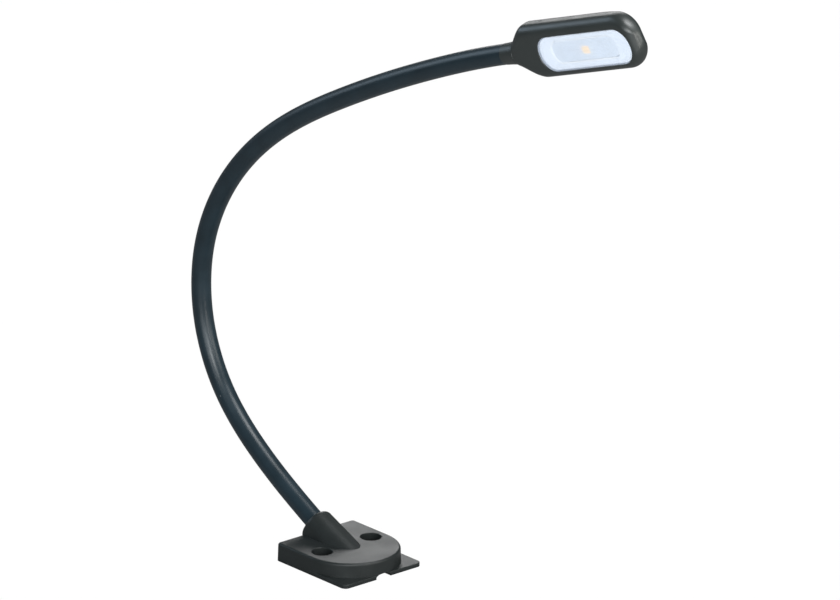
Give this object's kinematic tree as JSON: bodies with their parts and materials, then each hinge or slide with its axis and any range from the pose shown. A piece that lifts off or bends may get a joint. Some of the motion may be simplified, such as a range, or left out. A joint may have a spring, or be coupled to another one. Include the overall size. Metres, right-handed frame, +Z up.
{
  "type": "picture light",
  "caption": "LED picture light: a flat rounded head that swivels on a long bendable gooseneck, on a small screw-down base.",
  "frame": {"origin": "middle of the base's underside, on the surface that it is screwed to", "axes": "+Z up, away from the mounting surface; +X from the base's straight back edge, where the neck leaves, to its rounded front; +Y to the left across the base; the neck lies in the plane y = 0"},
  "size_m": [0.324, 0.05, 0.3291],
  "materials": {
    "base_plastic": "fine-grained matt dark grey moulding",
    "head_plastic": "satin black moulding",
    "sheath_rubber": "satin blue-black sheath with fine pale dust",
    "steel": "bright steel",
    "brass": "turned brass",
    "lead_pvc": "pale two-core lead",
    "terminal_plastic": "cream moulding",
    "ring_rubber": "matt black",
    "lens_acrylic": "clear acrylic, polished face, faintly blue",
    "reflector_white": "white moulding",
    "board_aluminium": "white solder mask",
    "emitter_phosphor": "yellow phosphor in clear silicone",
    "spreader_aluminium": "mill-finish sheet",
    "driver_laminate": "green circuit board"
  },
  "bodies": {
    "base": {"base_housing": "base_plastic", "base_bottom_cover": "base_plastic", "base_cover_screw_left": "steel", "base_cover_screw_right": "steel", "terminal_block": "terminal_plastic", "gooseneck_ferrule": "brass", "gooseneck_nut": "steel", "sheath_00": "sheath_rubber", "hose_00": "steel", "lead_00": "lead_pvc"},
    "neck_01": {"sheath_01": "sheath_rubber", "hose_01": "steel", "lead_01": "lead_pvc"},
    "neck_02": {"sheath_02": "sheath_rubber", "hose_02": "steel", "lead_02": "lead_pvc"},
    "neck_03": {"sheath_03": "sheath_rubber", "hose_03": "steel", "lead_03": "lead_pvc"},
    "neck_04": {"sheath_04": "sheath_rubber", "hose_04": "steel", "lead_04": "lead_pvc"},
    "neck_05": {"sheath_05": "sheath_rubber", "hose_05": "steel", "lead_05": "lead_pvc"},
    "neck_06": {"sheath_06": "sheath_rubber", "hose_06": "steel", "lead_06": "lead_pvc"},
    "neck_07": {"sheath_07": "sheath_rubber", "hose_07": "steel", "lead_07": "lead_pvc"},
    "neck_08": {"sheath_08": "sheath_rubber", "hose_08": "steel", "lead_08": "lead_pvc"},
    "neck_09": {"sheath_09": "sheath_rubber", "hose_09": "steel", "lead_09": "lead_pvc"},
    "neck_10": {"sheath_10": "sheath_rubber", "hose_10": "steel", "lead_10": "lead_pvc"},
    "neck_11": {"sheath_11": "sheath_rubber", "hose_11": "steel", "lead_11": "lead_pvc"},
    "neck_12": {"sheath_12": "sheath_rubber", "hose_12": "steel", "lead_12": "lead_pvc", "head_collar": "head_plastic", "swivel_friction_ring": "ring_rubber", "swivel_clip": "steel"},
    "head": {"head_housing": "head_plastic", "head_rear_cover": "head_plastic", "rear_cover_screw_lower": "steel", "rear_cover_screw_upper": "steel", "lens": "lens_acrylic", "reflector_tray": "reflector_white", "led_board": "board_aluminium", "led_emitter": "emitter_phosphor", "heat_spreader": "spreader_aluminium", "driver_board": "driver_laminate", "head_lead": "lead_pvc"}
  },
  "joints": [
    {"name": "neck_bend_01", "type": "hinge", "parent": "base", "child": "neck_01", "pos_m": [-0.03773, 0, 0.02075], "axis": [0, 1, 0], "range_deg": [-32, 28.6]},
    {"name": "neck_bend_02", "type": "hinge", "parent": "neck_01", "child": "neck_02", "pos_m": [-0.06968, 0, 0.03994], "axis": [0, 1, 0], "range_deg": [-32, 20.5]},
    {"name": "neck_bend_03", "type": "hinge", "parent": "neck_02", "child": "neck_03", "pos_m": [-0.09696, 0, 0.06517], "axis": [-0.7935, 0, -0.6086], "range_deg": [-30, 30]},
    {"name": "neck_bend_04", "type": "hinge", "parent": "neck_03", "child": "neck_04", "pos_m": [-0.11195, 0, 0.09894], "axis": [0, 1, 0], "range_deg": [-32, 6.7]},
    {"name": "neck_bend_05", "type": "hinge", "parent": "neck_04", "child": "neck_05", "pos_m": [-0.11092, 0, 0.13595], "axis": [0, 1, 0], "range_deg": [-32, 8.4]},
    {"name": "neck_bend_06", "type": "hinge", "parent": "neck_05", "child": "neck_06", "pos_m": [-0.09538, 0, 0.16964], "axis": [-0.8257, 0, 0.5641], "range_deg": [-30, 30]},
    {"name": "neck_bend_07", "type": "hinge", "parent": "neck_06", "child": "neck_07", "pos_m": [-0.07058, 0, 0.19738], "axis": [0, 1, 0], "range_deg": [-32, 20.1]},
    {"name": "neck_bend_08", "type": "hinge", "parent": "neck_07", "child": "neck_08", "pos_m": [-0.04056, 0, 0.21944], "axis": [0, 1, 0], "range_deg": [-32, 25]},
    {"name": "neck_bend_09", "type": "hinge", "parent": "neck_08", "child": "neck_09", "pos_m": [-0.00805, 0, 0.23771], "axis": [-0.4619, 0, 0.8869], "range_deg": [-30, 30]},
    {"name": "neck_bend_10", "type": "hinge", "parent": "neck_09", "child": "neck_10", "pos_m": [0.02538, 0, 0.25425], "axis": [0, 1, 0], "range_deg": [-32, 29.8]},
    {"name": "neck_bend_11", "type": "hinge", "parent": "neck_10", "child": "neck_11", "pos_m": [0.05943, 0, 0.26949], "axis": [0, 1, 0], "range_deg": [-32, 29.9]},
    {"name": "neck_bend_12", "type": "hinge", "parent": "neck_11", "child": "neck_12", "pos_m": [0.09403, 0, 0.28341], "axis": [-0.3504, 0, 0.9366], "range_deg": [-30, 30]},
    {"name": "head_swivel", "type": "hinge", "parent": "neck_12", "child": "head", "pos_m": [0.1162, 0, 0.2912], "axis": [0.9505, 0, 0.3107], "range_deg": [-75.7, 224.3]}
  ]
}
